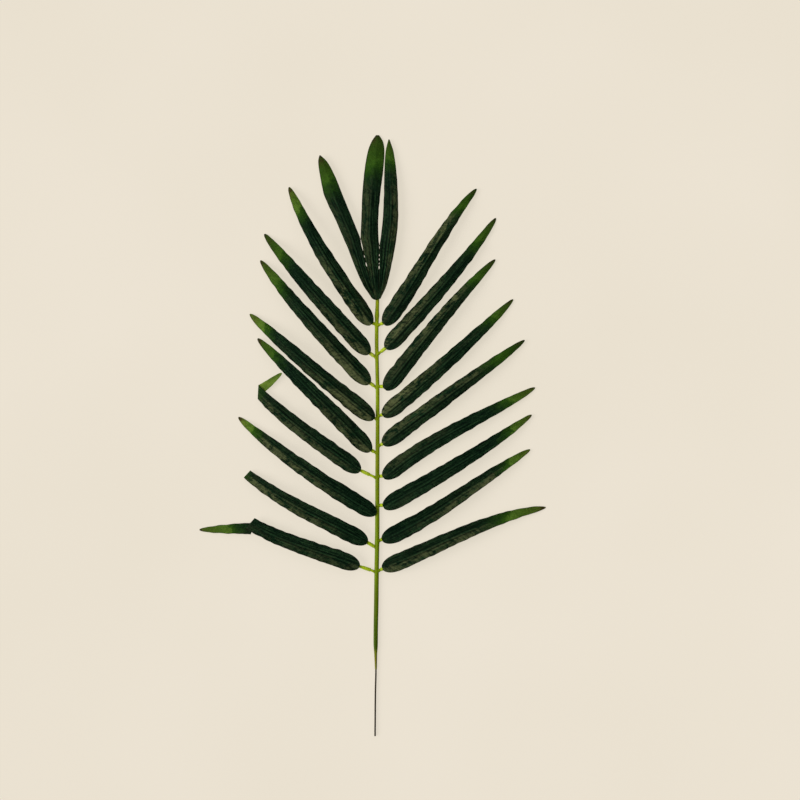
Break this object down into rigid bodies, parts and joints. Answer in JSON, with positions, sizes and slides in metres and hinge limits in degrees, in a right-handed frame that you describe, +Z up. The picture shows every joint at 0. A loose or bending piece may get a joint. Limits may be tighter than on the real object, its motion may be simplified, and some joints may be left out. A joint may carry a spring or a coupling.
{
  "type": "artificial palm leaf",
  "caption": "Artificial palm leaf: cut dark-green cloth leaflets on plastic ribs, pushed on the side pegs of a moulded stem with a bare wire foot.",
  "frame": {"origin": "middle of the leaf's bounding box, on the surface it lies on", "axes": "+Y along the stem from the bare wire foot to the crown, +X to the right of the leaf's face, +Z up out of the face"},
  "size_m": [0.3422, 0.6004, 0.0192],
  "materials": {
    "leaf_cloth": "coated cloth, dull, dark green with lighter tips and dark cut edges",
    "rib_plastic": "moulded, satin, light green",
    "stem_plastic": "moulded, satin, yellow-green with streaks",
    "wire": "bare, dull, darkened"
  },
  "bodies": {
    "root": {"crown": "leaf_cloth", "crown_rib": "rib_plastic", "leaflet_left_1": "leaf_cloth", "leaflet_left_1_rib": "rib_plastic", "leaflet_left_2": "leaf_cloth", "leaflet_left_2_rib": "rib_plastic", "leaflet_left_3": "leaf_cloth", "leaflet_left_3_rib": "rib_plastic", "leaflet_left_4": "leaf_cloth", "leaflet_left_4_rib": "rib_plastic", "leaflet_left_5": "leaf_cloth", "leaflet_left_5_rib": "rib_plastic", "leaflet_left_6": "leaf_cloth", "leaflet_left_6_rib": "rib_plastic", "leaflet_left_7": "leaf_cloth", "leaflet_left_7_rib": "rib_plastic", "leaflet_left_8": "leaf_cloth", "leaflet_left_8_rib": "rib_plastic", "leaflet_left_9": "leaf_cloth", "leaflet_left_9_rib": "rib_plastic", "leaflet_right_1": "leaf_cloth", "leaflet_right_1_rib": "rib_plastic", "leaflet_right_2": "leaf_cloth", "leaflet_right_2_rib": "rib_plastic", "leaflet_right_3": "leaf_cloth", "leaflet_right_3_rib": "rib_plastic", "leaflet_right_4": "leaf_cloth", "leaflet_right_4_rib": "rib_plastic", "leaflet_right_5": "leaf_cloth", "leaflet_right_5_rib": "rib_plastic", "leaflet_right_6": "leaf_cloth", "leaflet_right_6_rib": "rib_plastic", "leaflet_right_7": "leaf_cloth", "leaflet_right_7_rib": "rib_plastic", "leaflet_right_8": "leaf_cloth", "leaflet_right_8_rib": "rib_plastic", "leaflet_right_9": "leaf_cloth", "leaflet_right_9_rib": "rib_plastic", "stem": "stem_plastic", "stem_wire": "wire"}
  },
  "joints": []
}
